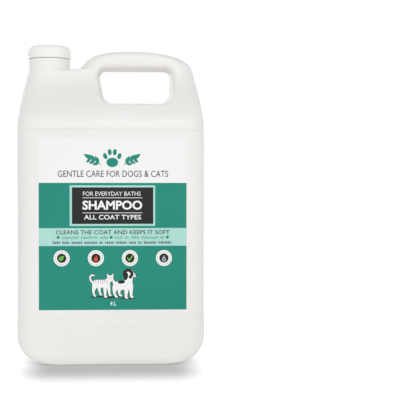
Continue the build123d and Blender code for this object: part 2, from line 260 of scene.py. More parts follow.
def body_levels(inset):
    """Rings of the body with its handle: the outside at inset 0, the hollow inside at inset WALL."""
    floor = body_rings(
        FLOOR_LIFT + inset,
        -(HALF_WIDTH - FOOT - FLOOR_DROP),
        HALF_WIDTH - FOOT - FLOOR_DROP,
        HALF_DEPTH - FOOT_SIDE - FLOOR_DROP,
        np.minimum(np.maximum(CORNER - FLOOR_DROP, 2.0), 0.9 * (HALF_DEPTH - FOOT_SIDE - FLOOR_DROP)),
    )
    z = np.concatenate([
        FOOT * (1 - np.cos(np.linspace(0, math.pi / 2, 21))),
        np.linspace(32, PANEL_LOW - LEDGE / 2, 5),
        np.linspace(PANEL_LOW - LEDGE / 2, PANEL_LOW + LEDGE / 2, 9)[1:],
        np.linspace(46, LEAN_START, 15),
        np.linspace(LEAN_START, PANEL_HIGH - LEDGE / 2, 10)[1:],
        np.linspace(PANEL_HIGH - LEDGE / 2, PANEL_HIGH + LEDGE / 2, 9)[1:],
        np.linspace(SHOULDER_START, DECK - DECK_EDGE, 44),
        DECK - DECK_EDGE * (1 - np.sin(np.linspace(0, math.pi / 2, 10)[1:-1])),
    ])
    recess = smooth_step(PANEL_LOW - LEDGE / 2, PANEL_LOW + LEDGE / 2, z)
    recess = recess - smooth_step(PANEL_HIGH - LEDGE / 2, PANEL_HIGH + LEDGE / 2, z)
    edge = rounding(z - DECK + DECK_EDGE, DECK_EDGE)
    width = half_width(z) - inset - recess * PANEL_SIDE_RECESS
    depth = half_depth(z) - inset - recess * PANEL_RECESS
    squeeze = (HANDLE_TOP - 2 * inset) / HANDLE_TOP
    body = body_rings(
        inset + z * squeeze, edge - width, width, depth, corner_of(depth, 2 * width, inset), edge
    )
    slide = np.linspace(0, 1, 12)[1:-1]
    top = half_width(DECK) - inset
    foot_left, _ = handle_ends(np.array(DECK))
    left = DECK_EDGE - top + slide * (foot_left + inset + top - DECK_EDGE)
    depth = np.full(len(slide), TOP_HALF_DEPTH - inset)
    deck = body_rings(
        inset + (DECK + DECK_RISE * slide) * squeeze, left, np.full(len(slide), top), depth,
        corner_of(depth, top - left, inset), DECK_EDGE,
    )
    z = DECK + (HANDLE_TOP - DECK) * HANDLE_SHARES
    left, right = handle_ends(z)
    left, right, depth = left + inset, right - inset, half_depth(z) - inset
    handle = body_rings(
        inset + z * squeeze, left, right, depth, corner_of(depth, right - left, inset),
        DECK_EDGE * (1 - smooth_step(DECK, DECK + EDGE_RUN_OUT, z)),
    )
    return np.concatenate([floor, body, deck, handle])


outside = closed_rings("jug_body", body_levels(0.0))
cavity = closed_rings("cavity", body_levels(WALL))
print("outside skin:", len(outside.data.vertices), "points; inside:", len(cavity.data.vertices))

# %% [markdown]
# ## The neck and its thread
# The spout is a surface of revolution: a profile of radius against height, carried round the neck's
# axis. A thread could be a separate twisted strip, but on a moulded neck it flows out of the wall, so
# here it is a rise in the radius wherever a point lies near the helix.

# %% Revolved rings and the thread
PITCH = 25.4 / 6
LAND_Z = 301.86
NECK_TURNS, THREAD_DROP, RUN_OUT = 1.25, 2.4, 0.05
NECK_THREAD_START = LAND_Z - THREAD_DROP - NECK_TURNS * PITCH


def thread_rise(angle, z, start, turns, lag, root, crest):
    """1 on a thread's crest, 0 off it, with sloping flanks and run-out ends.

    The thread's middle climbs one pitch a turn from its start; a point's distance from it, measured
    along the axis, is compared with half the root's and half the crest's width.
    """
    start_turn = (start - NECK_THREAD_START) / PITCH + lag
    rise = np.zeros(np.broadcast(angle, z).shape)
    for lap in range(2):
        turn = (angle / (2 * math.pi) - start_turn) % 1 + lap
        away = np.abs(z - start - PITCH * turn)
        flank = np.clip((root / 2 - away) / ((root - crest) / 2), 0, 1)
        ends = smooth_step(0, RUN_OUT, turn) * (1 - smooth_step(turns - RUN_OUT, turns, turn))
        rise = np.maximum(rise, flank * ends)
    return rise


def revolved(name, profile, columns, shape=None):
    """Carries a profile of (radius, height) pairs round the neck's axis.

    shape(radius, height, angle) may change the radius on the grid before it is placed.
    """
    profile = np.asarray(profile, float)
    angle = np.arange(columns) * 2 * math.pi / columns
    radius, z = profile[:, :1], profile[:, 1:]
    radius = np.broadcast_to(radius, (len(profile), columns)) if shape is None else shape(radius, z, angle)
    x = NECK_X + radius * np.cos(angle)
    y = radius * np.sin(angle)
    return closed_rings(name, np.stack([x, y, np.broadcast_to(z, x.shape)], axis=-1))


def fine_steps(profile, step):
    """The same profile with points added so that none are further apart than the step."""
    profile = np.asarray(profile, float)
    length = np.hypot(*np.diff(profile, axis=0).T)
    made = [
        start + np.linspace(0, 1, max(1, math.ceil(gap / step)) + 1)[:-1, None] * (stop - start)
        for start, stop, gap in zip(profile, profile[1:], length)
    ]
    return np.concatenate(made + [profile[-1:]])


def bend(centre, radius, first, last, steps):
    """Points on an arc of a profile, by angle in degrees, where 0 points away from the axis."""
    turn = np.radians(np.linspace(first, last, steps))
    return np.stack([centre[0] + radius * np.cos(turn), centre[1] + radius * np.sin(turn)], axis=-1)


# %% The neck's outside and its bore
NECK_RADIUS, THREAD_CREST, BORE = 17.55, 18.75, 15.6
PEDESTAL, BEAD, BEAD_LOW, BEAD_HIGH = 19.6, 19.9, 289.0, 291.7
NECK_THREAD_WIDTHS = (2.2, 1.0)
FLARE = 3.0


def neck_shape(radius, z, angle):
    """The radius with the thread added, and a rounded foot that widens towards the handle only."""
    on_wall = np.abs(radius - NECK_RADIUS) < 0.01
    rise = thread_rise(angle, z, NECK_THREAD_START, NECK_TURNS, 0.0, *NECK_THREAD_WIDTHS)
    thread = np.where(on_wall, (THREAD_CREST - NECK_RADIUS) * rise, 0)
    foot = np.where(radius > 19, rounding(DECK + FLARE - z, FLARE), 0)
    return radius + thread + np.minimum(foot, FLARE) * smooth_step(-0.3, 1.0, np.cos(angle))


neck_wall = fine_steps([(NECK_RADIUS, BEAD_HIGH + 0.4), (NECK_RADIUS, LAND_Z - 0.4)], 0.25)
neck_profile = np.concatenate([
    [(8.0, 270.0), (16.0, 270.0), (PEDESTAL, 273.0), (PEDESTAL, 278.0)],
    fine_steps([(PEDESTAL, 280.5), (PEDESTAL, 284.2)], 0.3),
    [(PEDESTAL, 286.5), (PEDESTAL, 288.7)],
    bend((BEAD - 0.35, BEAD_LOW + 0.35), 0.35, -60, 0, 4),
    bend((BEAD - 0.6, BEAD_HIGH - 0.6), 0.6, 0, 90, 6),
    bend((NECK_RADIUS + 0.4, BEAD_HIGH + 0.4), 0.4, 270, 190, 4),
    neck_wall,
    bend((NECK_RADIUS - 0.5, LAND_Z - 0.5), 0.5, 10, 90, 5),
    [(16.4, LAND_Z), (8.0, LAND_Z)],
])
neck = revolved("neck", neck_profile, 180, neck_shape)
bore_profile = np.concatenate([
    [(6.0, 276.0), (17.2, 276.0), (18.4, 278.6), (18.4, 287.6)],
    bend((17.4, 288.0), 1.0, 0, 60, 4),
    [(BORE, 289.6), (BORE, LAND_Z - 0.35)],
    bend((BORE + 0.35, LAND_Z - 0.35), 0.35, 180, 120, 4),
    [(BORE + 1.0, LAND_Z + 1.0), (6.0, LAND_Z + 1.0)],
])
bore = revolved("bore", bore_profile, 120)
print("neck:", len(neck.data.polygons), "faces, axis at x =", NECK_X)

# %% [markdown]
# ## The window under the handle
# On the real jug the mould pinches the two walls together and leaves a window with a rounded rim, so
# the light rolls softly over its lower edge. Cutting a straight hole would leave a crisp edge that
# no jug has. The tool that cuts the window is therefore flared: from the parting plane its wall opens
# with the mould's draft, then turns outwards on an arc that meets the local skin.

# %% Window outline
WINDOW = [(-12.4, 280.6, 6.5), (58.0, 280.6, 6.5), (56.4, 249.8, 9.5), (-6.2, 249.8, 9.5)]
DRAFT = math.radians(6.0)
RIM, WELD = 4.6, 3.0


def rounded_outline(corners, arc_steps, side_steps):
    """Points round a polygon with rounded corners, and the outward direction at each, in x and z.

    Each corner is (x, z, radius), taken clockwise. An arc touches both its sides, and straight
    runs between the arcs are divided evenly.
    """
    spots = np.array([c[:2] for c in corners])
    radii = np.array([c[2] for c in corners])
    points, outwards = [], []
    before = spots - np.roll(spots, 1, axis=0)
    before /= np.linalg.norm(before, axis=1)[:, None]
    after = np.roll(before, -1, axis=0)
    half_turn = np.arccos(np.clip((before * after).sum(axis=1), -1, 1)) / 2
    reach = radii * np.tan(half_turn)
    left_of = np.stack([-before[:, 1], before[:, 0]], axis=-1)
    centres = spots - before * reach[:, None] - left_of * radii[:, None]
    for index, centre in enumerate(centres):
        sweep = np.linspace(0, 2 * half_turn[index], arc_steps)[:, None]
        normal = left_of[index] * np.cos(sweep) + before[index] * np.sin(sweep)
        points.append(centre + radii[index] * normal)
        outwards.append(normal)
        following = (index + 1) % len(corners)
        run_end = centres[following] + radii[following] * left_of[following]
        share = np.linspace(0, 1, side_steps + 1)[1:-1, None]
        points.append(points[-1][-1] + share * (run_end - points[-1][-1]))
        outwards.append(np.repeat(left_of[following][None], side_steps - 1, axis=0))
    return np.concatenate(points), np.concatenate(outwards)


outline, outward = rounded_outline(WINDOW, 12, 18)
print("window outline:", len(outline), "points, from", outline.min(axis=0), "to", outline.max(axis=0))


# %% Flared window tool
def skin_depth(x, z):
    """How far the body's skin is from the parting plane, with the rounded corner on the right."""
    depth = half_depth(z)
    right = np.where(z > DECK, handle_ends(np.maximum(z, DECK))[1], half_width(z))
    corner = corner_of(depth, 2 * right, 0.0)
    past = np.clip(x - right + corner, 0, corner * 0.98)
    return depth - corner + np.sqrt(corner**2 - past**2)


def rim_arc(points, normals, radius):
    """For each outline point the rolling circle that touches both the drafted wall and the skin.

    The place on the skin is found by halving an interval forty times: there, a step of one radius
    inwards lies exactly one radius from the wall. Returns the circle's middle and its two angles.
    """
    def skin(reach):
        place = points + reach[:, None] * normals
        return skin_depth(place[:, 0], place[:, 1])

    low, high = np.zeros(len(points)), np.full(len(points), 4 * radius)
    for _ in range(40):
        reach = (low + high) / 2
        slope = (skin(reach + 0.01) - skin(reach - 0.01)) / 0.02
        facing = np.stack([-slope, np.ones_like(slope)], axis=-1) / np.hypot(slope, 1)[:, None]
        middle = np.stack([reach, skin(reach)], axis=-1) - radius * facing
        gap = middle[:, 0] * math.cos(DRAFT) - middle[:, 1] * math.sin(DRAFT) - radius
        low, high = np.where(gap < 0, reach, low), np.where(gap < 0, high, reach)
    return middle, math.pi - DRAFT, np.arctan2(facing[:, 1], facing[:, 0])


def window_rings(points, normals):
    """Rings of the flared tool from its back to its front, shaped (rings, points, 3)."""
    middle, wall_angle, skin_angle = rim_arc(points, normals, RIM)
    turn = wall_angle + np.linspace(0, 0.95, 9)[:, None] * (skin_angle - wall_angle)
    arc = np.stack([middle[:, 0] + RIM * np.cos(turn), middle[:, 1] + RIM * np.sin(turn)], axis=-1)
    wall = arc[0] * np.linspace(0, 1, 6)[1:-1, None, None]
    facing = np.stack([np.cos(skin_angle), np.sin(skin_angle)], axis=-1)
    beyond = arc[-1] + 7.0 * facing
    half = np.concatenate([np.zeros((1, len(points), 2)), wall, arc, beyond[None]])
    both = np.concatenate([half[:0:-1] * (1, -1), half])
    place = points + both[..., :1] * normals
    return np.stack([place[..., 0], both[..., 1], place[..., 1]], axis=-1)


window = closed_rings("window", window_rings(outline, outward))
plain = outline + WELD * outward
levels = np.array([-60.0, -30.0, 0.0, 30.0, 60.0])
spread = np.abs(levels)[:, None, None] * math.tan(DRAFT) * outward + plain
weld = closed_rings("weld", np.stack(
    [spread[..., 0], np.broadcast_to(levels[:, None], spread.shape[:2]), spread[..., 1]], axis=-1
))
print("window tool:", len(window.data.polygons), "faces")

# %% [markdown]
# ## Lugs and joining
# Two small round lugs stand on the spout side, where the mould's halves meet. The parts of the shell are
# then joined and cut. Joining the meshes without a boolean would leave skins hidden inside each other;
# the boolean gives one closed wall, hollow right through the handle.

# %% Lugs
LUGS = (("lug_high", 220.9, 1.0), ("lug_low", 44.5, 1.8))


def lug(name, z, proud):
    """A round pip on the side: a disc whose face curves over at its edge."""
    side = float(-half_width(np.array(z)))
    turn = np.arange(40) * 2 * math.pi / 40
    radii = np.array([2.0, 3.5, 3.5, 3.45, 3.25, 2.9, 2.4, 1.2])
    out = np.array([-1.0, -1.0, proud - 0.6, proud - 0.35, proud - 0.12, proud, proud, proud])
    y, up = radii[:, None] * np.cos(turn), radii[:, None] * np.sin(turn)
    x = np.broadcast_to(side - out[:, None], y.shape)
    return closed_rings(name, np.stack([x, -y, z + up], axis=-1))


# %% Boolean joining
CRISP, CRISP_PLATE = 38, 30


def combine(target, tool, operation):
    """Joins the tool to the target or cuts it away, then removes the tool."""
    modifier = target.modifiers.new("combine", "BOOLEAN")
    modifier.operation, modifier.solver, modifier.object = operation, "MANIFOLD", tool
    bpy.context.view_layer.update()
    made = bpy.data.meshes.new_from_object(target.evaluated_get(bpy.context.evaluated_depsgraph_get()))
    target.modifiers.clear()
    old, target.data = target.data, made
    bpy.data.meshes.remove(old)
    bpy.data.objects.remove(tool)
    print(operation, "->", len(made.polygons), "faces")


def soften(piece, degrees):
    """Smooth shading, with edges sharper than the angle left crisp."""
    piece.data.shade_smooth()
    piece.data.set_sharp_from_angle(angle=math.radians(degrees))


def is_inside_out(piece):
    """True if the closed mesh encloses a negative volume, that is, if its faces point inwards."""
    mesh = piece.data
    mesh.calc_loop_triangles()
    corners = np.empty(len(mesh.loop_triangles) * 3, np.int32)
    mesh.loop_triangles.foreach_get("vertices", corners)
    spots = np.empty(len(mesh.vertices) * 3, np.float32)
    mesh.vertices.foreach_get("co", spots)
    a, b, c = spots.reshape(-1, 3)[corners].astype(float).reshape(-1, 3, 3).transpose(1, 0, 2)
    volume = (a * np.cross(b, c)).sum() / 6 * 1e6
    print(piece.name, "encloses", round(volume, 1), "ml;", len(mesh.loop_triangles), "triangles")
    return volume < 0


for part in (outside, cavity, neck, bore, window, weld):
    is_inside_out(part)
combine(cavity, weld, "DIFFERENCE")
is_inside_out(cavity)
combine(outside, neck, "UNION")
combine(outside, window, "DIFFERENCE")
for name, z, proud in LUGS:
    combine(outside, lug(name, z, proud), "UNION")
combine(outside, cavity, "DIFFERENCE")
combine(outside, bore, "DIFFERENCE")
jug = outside
jug.name = "jug_shell"
soften(jug, CRISP)
is_inside_out(jug)
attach(jug, "jug")
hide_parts("jug_body")

# %% [markdown]
# ## The screw cap
# The cap is injection moulded: a drum closed at the top, with a rounded upper edge, a smooth band at its
# rim, ninety very shallow grip ribs and one turn of thread inside. It could be a lathe shape with an array of
# ribs on it. Here the ribs and the thread are both ripples of one lathe surface, so nothing is stuck on and
# the piece stays one closed skin.

# %% Cap
CAP_LOW, CAP_TOP, CAP_RADIUS, CAP_EDGE = 292.2, 304.36, 20.35, 5.0
CEILING, SEAT, SEAT_LOW = 302.86, 18.25, 300.96
CAP_BORE, CAP_CREST, CAP_THREAD_START = 19.05, 17.85, 293.6
CAP_TURNS, CAP_LAG, CAP_THREAD_WIDTHS = 1.0, 0.5, (2.0, 0.9)
RIBS, RIB_COLUMNS, RIB_PROUD, RIM_BAND = 90, 6, 0.16, 1.5


def cap_shape(radius, z, angle):
    """The radius with a cosine ripple for the ribs outside and the thread standing inwards inside."""
    ribbed = smooth_step(CAP_LOW + RIM_BAND, CAP_LOW + RIM_BAND + 0.5, z)
    ribbed = ribbed * (1 - smooth_step(CAP_TOP - CAP_EDGE, CAP_TOP - CAP_EDGE + 2.0, z))
    ribs = np.where(radius > CAP_BORE + 0.5, ribbed * RIB_PROUD * (1 + np.cos(RIBS * angle)) / 2, 0)
    rise = thread_rise(angle, z, CAP_THREAD_START, CAP_TURNS, CAP_LAG, *CAP_THREAD_WIDTHS)
    thread = np.where(np.abs(radius - CAP_BORE) < 0.01, (CAP_BORE - CAP_CREST) * rise, 0)
    return radius + ribs - thread


cap_profile = np.concatenate([
    [(5.0, CEILING), (12.0, CEILING)],
    bend((SEAT - 0.3, CEILING - 0.3), 0.3, 90, 0, 4),
    [(SEAT, SEAT_LOW + 0.2), (SEAT + 0.25, SEAT_LOW), (CAP_BORE - 0.15, SEAT_LOW)],
    fine_steps([(CAP_BORE, SEAT_LOW - 0.2), (CAP_BORE, CAP_LOW + 0.4)], 0.25),
    [(CAP_BORE + 0.25, CAP_LOW)],
    bend((CAP_RADIUS - 0.4, CAP_LOW + 0.4), 0.4, 270, 360, 5),
    fine_steps([(CAP_RADIUS, CAP_LOW + RIM_BAND), (CAP_RADIUS, CAP_LOW + RIM_BAND + 0.5)], 0.125),
    [(CAP_RADIUS, CAP_TOP - 7.5)],
    bend((CAP_RADIUS - CAP_EDGE, CAP_TOP - CAP_EDGE), CAP_EDGE, 0, 90, 16),
    [(9.0, CAP_TOP), (2.3, CAP_TOP), (2.0, CAP_TOP - 0.15), (1.0, CAP_TOP - 0.15)],
])
cap = revolved("cap_shell", cap_profile, RIBS * RIB_COLUMNS, cap_shape)
soften(cap, CRISP)
is_inside_out(cap)
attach(cap, "cap")
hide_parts("screw_cap")

# %% [markdown]
# ## The foam liner
# A disc of closed-cell foam lies loose in the cap and seals on the neck's flat land. It is only seen when the
# cap comes off. A plain disc would look new; this one carries the shallow ring that the land presses into it.

# %% Liner
LINER, PRESSED = 17.95, 0.08
liner_profile = np.concatenate([
    [(4.0, LAND_Z - PRESSED), (BORE - 0.3, LAND_Z - PRESSED), (BORE + 0.1, LAND_Z)],
    [(NECK_RADIUS - 0.2, LAND_Z)],
    bend((LINER - 0.15, LAND_Z + 0.15), 0.15, 270, 360, 4),
    bend((LINER - 0.15, CEILING - 0.2), 0.15, 0, 90, 4),
    [(10.0, CEILING - 0.05)],
])
liner = revolved("liner_disc", liner_profile, 120)
soften(liner, CRISP)
is_inside_out(liner)
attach(liner, "liner")
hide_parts("cap_liner")

# %% [markdown]
# ## The labels: film and ink
# Each label is a thin film laid in the shallow panel, with flat inks on it. A picture wrapped on the film
# would be the quick way, but a picture blurs when it is seen close up. So every printed shape is a very
# thin closed plate, and later inks stand a few hundredths of a millimetre higher, as layers of ink do. All
# of it is drawn in the label's own directions: to the reader's right, up, and out of the label.

# %% Ink layers
FILM_FACE, FILM_THICK, INK_STEP, INK_SUNK, INK_ORDER = 49.65, 0.15, 0.03, 0.05, 0.0002
inks = {}


def place_on_label(side, points):
    """Turns (right, up, out) into x, y, z: the front label faces -y, the back label faces +y."""
    right, up, out = np.asarray(points, float).T
    if side == "front":
        return np.stack([right, -FILM_FACE - out, up], axis=-1)
    return np.stack([-right, FILM_FACE + out, up], axis=-1)


def ink_plates(side, ink):
    """The list of shapes already printed in one ink on one side."""
    return inks.setdefault((side, ink), [])


def flat_plate(outline, low, high):
    """A closed plate: an outline, taken anticlockwise, at two heights, with a middle point each side."""
    heights = np.repeat([[low], [high]], len(outline), axis=1)[..., None]
    return ring_surface(np.concatenate([np.stack([outline, outline]), heights], axis=-1))


def print_shape(side, ink, layer, outline):
    """Prints one filled outline. Each shape of an ink stands a hair higher than the one before it."""
    plates = ink_plates(side, ink)
    plates.append(flat_plate(outline, -INK_SUNK, INK_STEP * layer + INK_ORDER * len(plates)))


def block(left, right, low, high, corner=0.4):
    """A rectangle with rounded corners, anticlockwise."""
    corners = [(left, high, corner), (right, high, corner), (right, low, corner), (left, low, corner)]
    return rounded_outline(corners, 5, 2)[0][::-1]


def oval(right, up, half_width, half_height, tilt=0.0, steps=32):
    """An ellipse round a middle, turned by a tilt in degrees."""
    turn = np.arange(steps) * 2 * math.pi / steps
    x, y = half_width * np.cos(turn), half_height * np.sin(turn)
    lean = math.radians(tilt)
    return np.stack([right + x * math.cos(lean) - y * math.sin(lean),
                     up + x * math.sin(lean) + y * math.cos(lean)], axis=-1)


def limb(start, start_radius, stop, stop_radius, steps=9):
    """Two circles and the lines that touch both: an arm, a leg or a stroke of a pen."""
    start, stop = np.array(start, float), np.array(stop, float)
    along = math.atan2(*(stop - start)[::-1])
    spread = math.acos((start_radius - stop_radius) / np.linalg.norm(stop - start))
    near = np.linspace(along + spread, along + 2 * math.pi - spread, steps)
    far = np.linspace(along - spread, along + spread, steps)
    return np.concatenate([
        stop + stop_radius * np.stack([np.cos(far), np.sin(far)], axis=-1),
        start + start_radius * np.stack([np.cos(near), np.sin(near)], axis=-1),
    ])


def leaf(right, up, length, half_width, tilt):
    """A leaf from its stalk: its half width follows half a sine wave drawn towards the stalk."""
    share = np.linspace(0, 1, 14)
    bulge = half_width * np.sin(math.pi * share**0.8)
    x = np.concatenate([share, share[-2:0:-1]]) * length
    y = np.concatenate([-bulge, bulge[-2:0:-1]])
    lean = math.radians(tilt)
    return np.stack([right + x * math.cos(lean) - y * math.sin(lean),
                     up + x * math.sin(lean) + y * math.cos(lean)], axis=-1)


def drop(right, up, size, sway=0.0):
    """A drop with its point upwards; a sway bends the point aside, which makes it a flame."""
    turn = np.arange(36) * 2 * math.pi / 36
    x = -0.95 * np.sin(turn) * np.sin(turn / 2) ** 1.5
    y = np.cos(turn)
    return np.stack([right + size * (x + sway * np.maximum(y, 0) ** 2), up + size * y], axis=-1)


# %% Boxes in one array, for the small print
SQUARE = [(0, 0), (1, 0), (1, 1), (0, 1)]
BOX_CORNERS = np.array([(x, y, z) for z in (0, 1) for x, y in SQUARE])
BOX_SIDES = np.array([(0, 1, 5, 4), (1, 2, 6, 5), (2, 3, 7, 6), (3, 0, 4, 7), (3, 2, 1, 0), (4, 5, 6, 7)])
NO_TRIANGLES = np.zeros((0, 3), int)
pen = np.random.default_rng(4)


def print_boxes(side, ink, layer, left, right, low, high):
    """Prints many small upright rectangles at once from arrays of their edges."""
    plates = ink_plates(side, ink)
    top = np.full(len(left), INK_STEP * layer + INK_ORDER * len(plates))
    near = np.stack([left, low, np.full(len(left), -INK_SUNK)], axis=-1)[:, None]
    far = np.stack([right, high, top], axis=-1)[:, None]
    points = near + BOX_CORNERS * (far - near)
    quads = np.arange(len(left))[:, None, None] * 8 + BOX_SIDES
    plates.append((points.reshape(-1, 3), quads.reshape(-1, 4), NO_TRIANGLES))


def small_print(side, ink, layer, left, right, middle, height, weight=1.0):
    """A line of letter-like marks: two stems and a bar each, in words of two to nine letters."""
    count = int((right - left) / (0.66 * height))
    gaps = np.cumsum(pen.integers(3, 10, count))
    used = ~np.isin(np.arange(count), gaps)
    start = (left + (np.arange(count) + 0.1) * (right - left) / count)[used]
    tall, top_bar = pen.random(len(start)) < 0.3, pen.random(len(start)) < 0.5
    stroke, wide = 0.12 * height * weight, 0.46 * height
    low = middle - height / 2
    x_height = low + 0.72 * height
    bar = np.where(top_bar, x_height - stroke, low)
    print_boxes(
        side, ink, layer,
        np.concatenate([start, start + wide - stroke, start + stroke]),
        np.concatenate([start + stroke, start + wide, start + wide - stroke]),
        np.concatenate([np.full(len(start), low), np.full(len(start), low), bar]),
        np.concatenate([np.where(tall, low + height, x_height), np.full(len(start), x_height), bar + stroke]),
    )


# %% Real letters
def print_words(side, ink, layer, words, left, right, low, high, weight=0.0):
    """Letters of Blender's own plain font, thickened by the weight and stretched to fill the space given.

    The text is made a mesh while it still lies flat; equal points are merged so that each letter is closed.
    """
    curve = bpy.data.curves.new("letters", "FONT")
    curve.body, curve.extrude, curve.offset, curve.resolution_u = words, 0.5, weight, 3
    text = bpy.data.objects.new("letters", curve)
    mesh = bpy.data.meshes.new_from_object(text)
    mesh.calc_loop_triangles()
    corners = np.empty(len(mesh.loop_triangles) * 3, np.int32)
    mesh.loop_triangles.foreach_get("vertices", corners)
    spots = np.empty(len(mesh.vertices) * 3, np.float32)
    mesh.vertices.foreach_get("co", spots)
    bpy.data.objects.remove(text)
    bpy.data.curves.remove(curve)
    bpy.data.meshes.remove(mesh)
    spots, merged = np.unique(np.round(spots.reshape(-1, 3), 5), axis=0, return_inverse=True)
    triangles = merged.ravel()[corners].reshape(-1, 3)
    whole = (triangles != np.roll(triangles, 1, axis=1)).all(axis=1)
    share = (spots - spots.min(axis=0)) / np.ptp(spots, axis=0)
    plates = ink_plates(side, ink)
    near = np.array([left, low, -INK_SUNK])
    far = np.array([right, high, INK_STEP * layer + INK_ORDER * len(plates)])
    plates.append((near + share * (far - near), np.zeros((0, 4), int), triangles[whole]))


for side in ("front", "back"):
    print("the", side, "label's plane lies at", place_on_label(side, [(0, 0, 0)]))

# %% [markdown]
# ## Printing the front label
# From the top: an emblem with a paw and leaves, a line of plain words, then a green field to the foot. On it
# lie a framed black panel, a pale band, four round badges, a cat with a dog, and the volume. The words are
# everyday ones and the drawings are this file's own.

# %% Film size and an emblem
FRONT_EDGES = (-67.3, 70.7, 52.1, 213.4)
BACK_EDGES = (-70.7, 70.7, 51.9, 215.3)


def emblem(side, ink, layer, middle, low, width, height):
    """A paw print between two sprigs: a pad, four toes and three leaves a side."""
    up = low + height / 2
    print_shape(side, ink, layer, oval(middle, low + 0.3 * height, 0.3 * height, 0.24 * height))
    for place, rise, tilt in ((-0.36, 0.62, 20), (-0.13, 0.82, 6), (0.13, 0.82, -6), (0.36, 0.62, -20)):
        toe = oval(middle + place * height, low + rise * height, 0.1 * height, 0.16 * height, tilt)
        print_shape(side, ink, layer, toe)
    for way in (-1, 1):
        stalk = middle + way * 0.22 * width
        tip = middle + way * 0.47 * width
        print_shape(side, ink, layer, limb((stalk, up - 0.3 * height), 0.3, (tip, up + 0.12 * height), 0.2))
        for share, turn in ((0.15, 62), (0.45, 48), (0.75, 30)):
            foot = stalk + share * (tip - stalk)
            level = up - 0.3 * height + share * 0.42 * height
            tilt = turn if way > 0 else 180 - turn
            print_shape(side, ink, layer, leaf(foot, level, 0.42 * height, 0.1 * height, tilt))
            print_shape(side, ink, layer, leaf(foot, level, 0.34 * height, 0.08 * height, tilt - way * 75))


emblem("front", "green", 1, 1.2, 185.3, 49.0, 18.3)
print_words("front", "grey", 1, "GENTLE CARE FOR DOGS & CATS", -49.5, 53.4, 177.2, 183.2, 0.004)

# %% Field, panel and band
LEFT, RIGHT, FOOT_OF_FILM, _ = FRONT_EDGES
print_shape("front", "green", 1, block(LEFT + 0.1, RIGHT - 0.1, FOOT_OF_FILM + 0.9, 171.7, 0.2))
print_shape("front", "mint", 2, block(-38.5, 41.2, 131.5, 169.4, 0.5))
print_shape("front", "mint", 2, block(LEFT + 0.1, RIGHT - 0.1, 112.9, 129.5, 0.2))
print_shape("front", "black", 3, block(-36.4, 39.4, 133.4, 167.5, 0.3))
print_words("front", "white", 4, "FOR EVERYDAY BATHS", -26.1, 27.7, 159.6, 163.6)
print_shape("front", "white", 4, block(-26.6, 29.1, 157.5, 158.0, 0.1))
print_words("front", "white", 4, "SHAMPOO", -26.6, 29.1, 146.6, 155.2, 0.03)
print_shape("front", "white", 4, block(-26.6, 29.1, 143.5, 144.0, 0.1))
print_words("front", "white", 4, "ALL COAT TYPES", -25.2, 28.1, 137.5, 141.9, 0.015)
print_words("front", "grey", 3, "CLEANS THE COAT AND KEEPS IT SOFT", -51.4, 54.8, 123.7, 127.5, 0.012)
small_print("front", "green", 3, -45.8, -2.6, 120.9, 2.9)
small_print("front", "green", 3, 3.0, 49.6, 120.9, 2.9)
small_print("front", "grey", 3, -54.2, 58.1, 116.2, 2.6, 1.7)
for spot in (-49.2, 0.1, 52.6):
    print_shape("front", "green", 3, oval(spot, 120.9, 1.4, 1.4))

# %% Four round badges
BADGE_RADIUS, BADGE_CORE, BADGE_LEVEL = 7.5, 4.3, 101.4


def ring_marks(side, ink, layer, middle, up, radius, count, size):
    """Small marks round a circle, standing on it as letters round a seal do, as narrow ovals."""
    for turn in np.linspace(0, 2 * math.pi, count, endpoint=False) + 0.2:
        lean = math.degrees(turn)
        spot = (middle + radius * math.cos(turn), up + radius * math.sin(turn))
        print_shape(side, ink, layer, oval(*spot, size, 0.35 * size, lean, 8))


for spot in (-46.0, -14.2, 17.6, 49.4):
    print_shape("front", "white", 2, oval(spot, BADGE_LEVEL, BADGE_RADIUS, BADGE_RADIUS, 0, 64))
    print_shape("front", "black", 3, oval(spot, BADGE_LEVEL, BADGE_CORE, BADGE_CORE, 0, 48))
    ring_marks("front", "grey", 3, spot, BADGE_LEVEL, 5.9, 26, 0.55)
print_shape("front", "leaf", 4, leaf(-48.6, BADGE_LEVEL - 2.2, 6.6, 1.9, 42))
print_shape("front", "black", 5, limb((-48.2, BADGE_LEVEL - 1.8), 0.16, (-44.6, BADGE_LEVEL + 1.5), 0.08))
print_shape("front", "flame", 4, drop(-14.2, BADGE_LEVEL - 0.3, 2.9, 0.22))
print_shape("front", "leaf", 4, limb((15.4, BADGE_LEVEL + 0.2), 0.55, (17.0, BADGE_LEVEL - 2.1), 0.6))
print_shape("front", "leaf", 4, limb((17.0, BADGE_LEVEL - 2.1), 0.6, (20.2, BADGE_LEVEL + 2.4), 0.5))
print_shape("front", "silver", 4, drop(49.4, BADGE_LEVEL - 0.2, 3.1))
print_shape("front", "water", 5, oval(49.4, BADGE_LEVEL - 1.5, 1.1, 1.0))

# %% [markdown]
# ## The cat and the dog
# The drawing shows two pets standing side by side. Each is a handful of limbs and ovals. Printed once in
# black with every shape a little fatter, and again in white on top, the same list gives a white animal
# with an even outline.

# %% Two pets
def pet(layer, limbs, ovals):
    """Prints an animal's outline in black, then its coat in white one layer higher."""
    for ink, grown, level in (("black", 0.32, layer), ("white", 0.0, layer + 1)):
        for x0, z0, r0, x1, z1, r1 in limbs:
            print_shape("front", ink, level, limb((x0, z0), r0 + grown, (x1, z1), r1 + grown))
        for x, z, wide, high, tilt in ovals:
            print_shape("front", ink, level, oval(x, z, wide + grown, high + grown, tilt))


